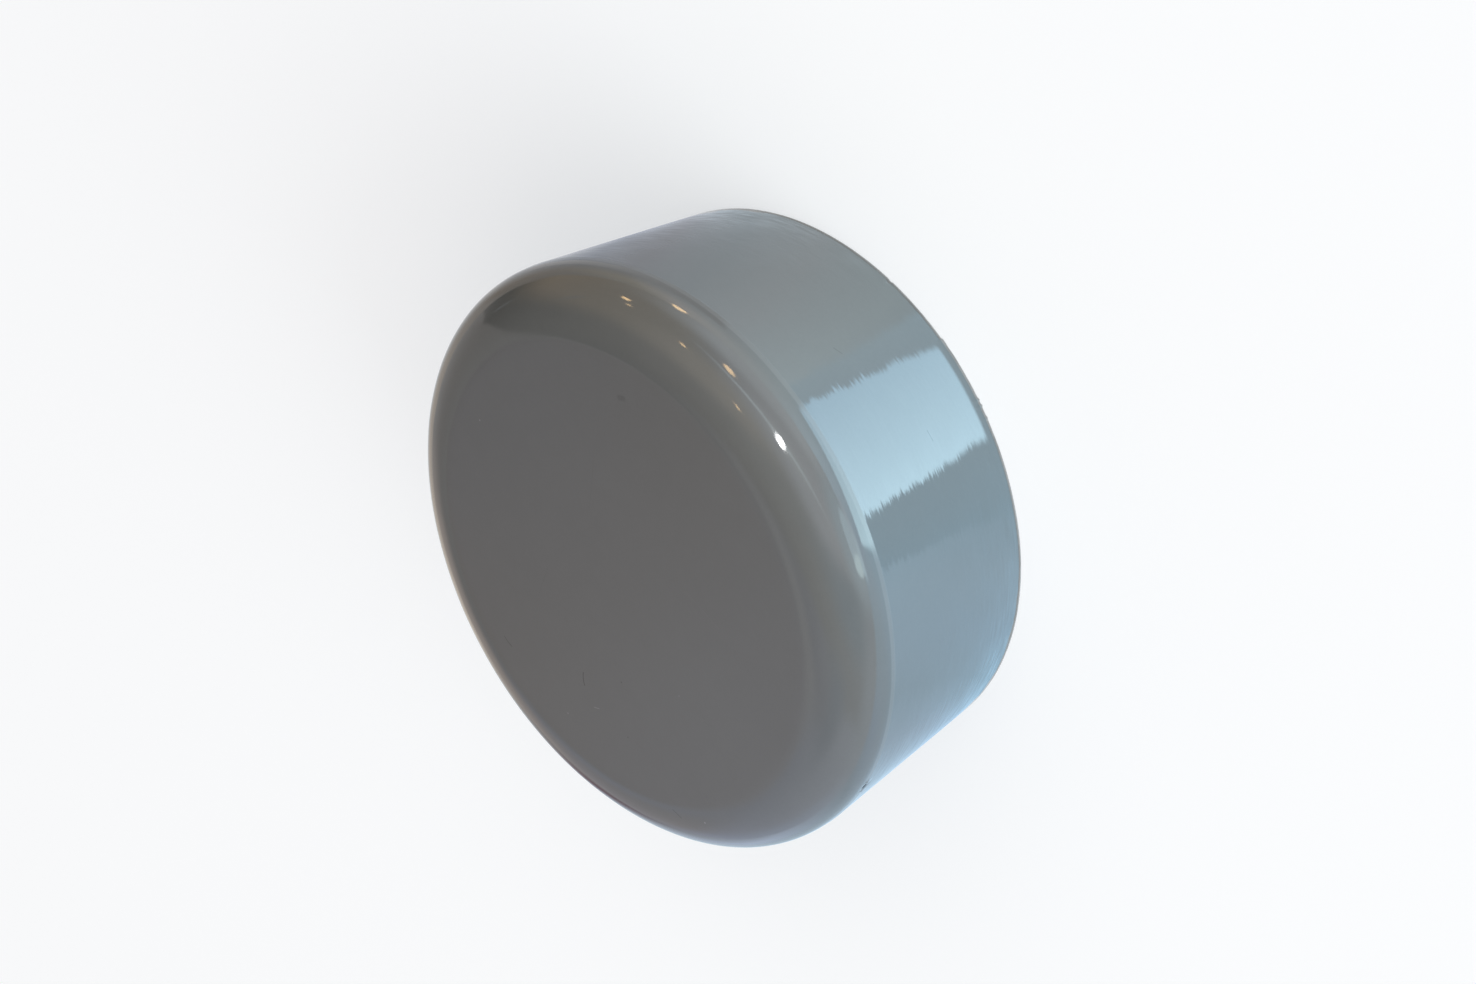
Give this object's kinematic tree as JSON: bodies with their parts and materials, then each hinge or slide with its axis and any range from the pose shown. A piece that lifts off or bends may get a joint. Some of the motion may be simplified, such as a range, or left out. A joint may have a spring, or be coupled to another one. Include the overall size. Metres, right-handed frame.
{
  "type": "tube end cap",
  "caption": "Round push-on end cap: a flat closed face with a large rounded edge and a tapered skirt that thins to a lip at the open rim.",
  "frame": {"origin": "centre of the rim's plane, on which the cap stands with its closed face up", "axes": "+Z along the bore from the open rim to the closed face; the part is round, so X and Y are free"},
  "size_m": [0.0668, 0.0668, 0.0289],
  "materials": {
    "grey_plastic": "smooth glossy grey moulding"
  },
  "bodies": {
    "root": {"end_cap": "grey_plastic"}
  },
  "joints": []
}
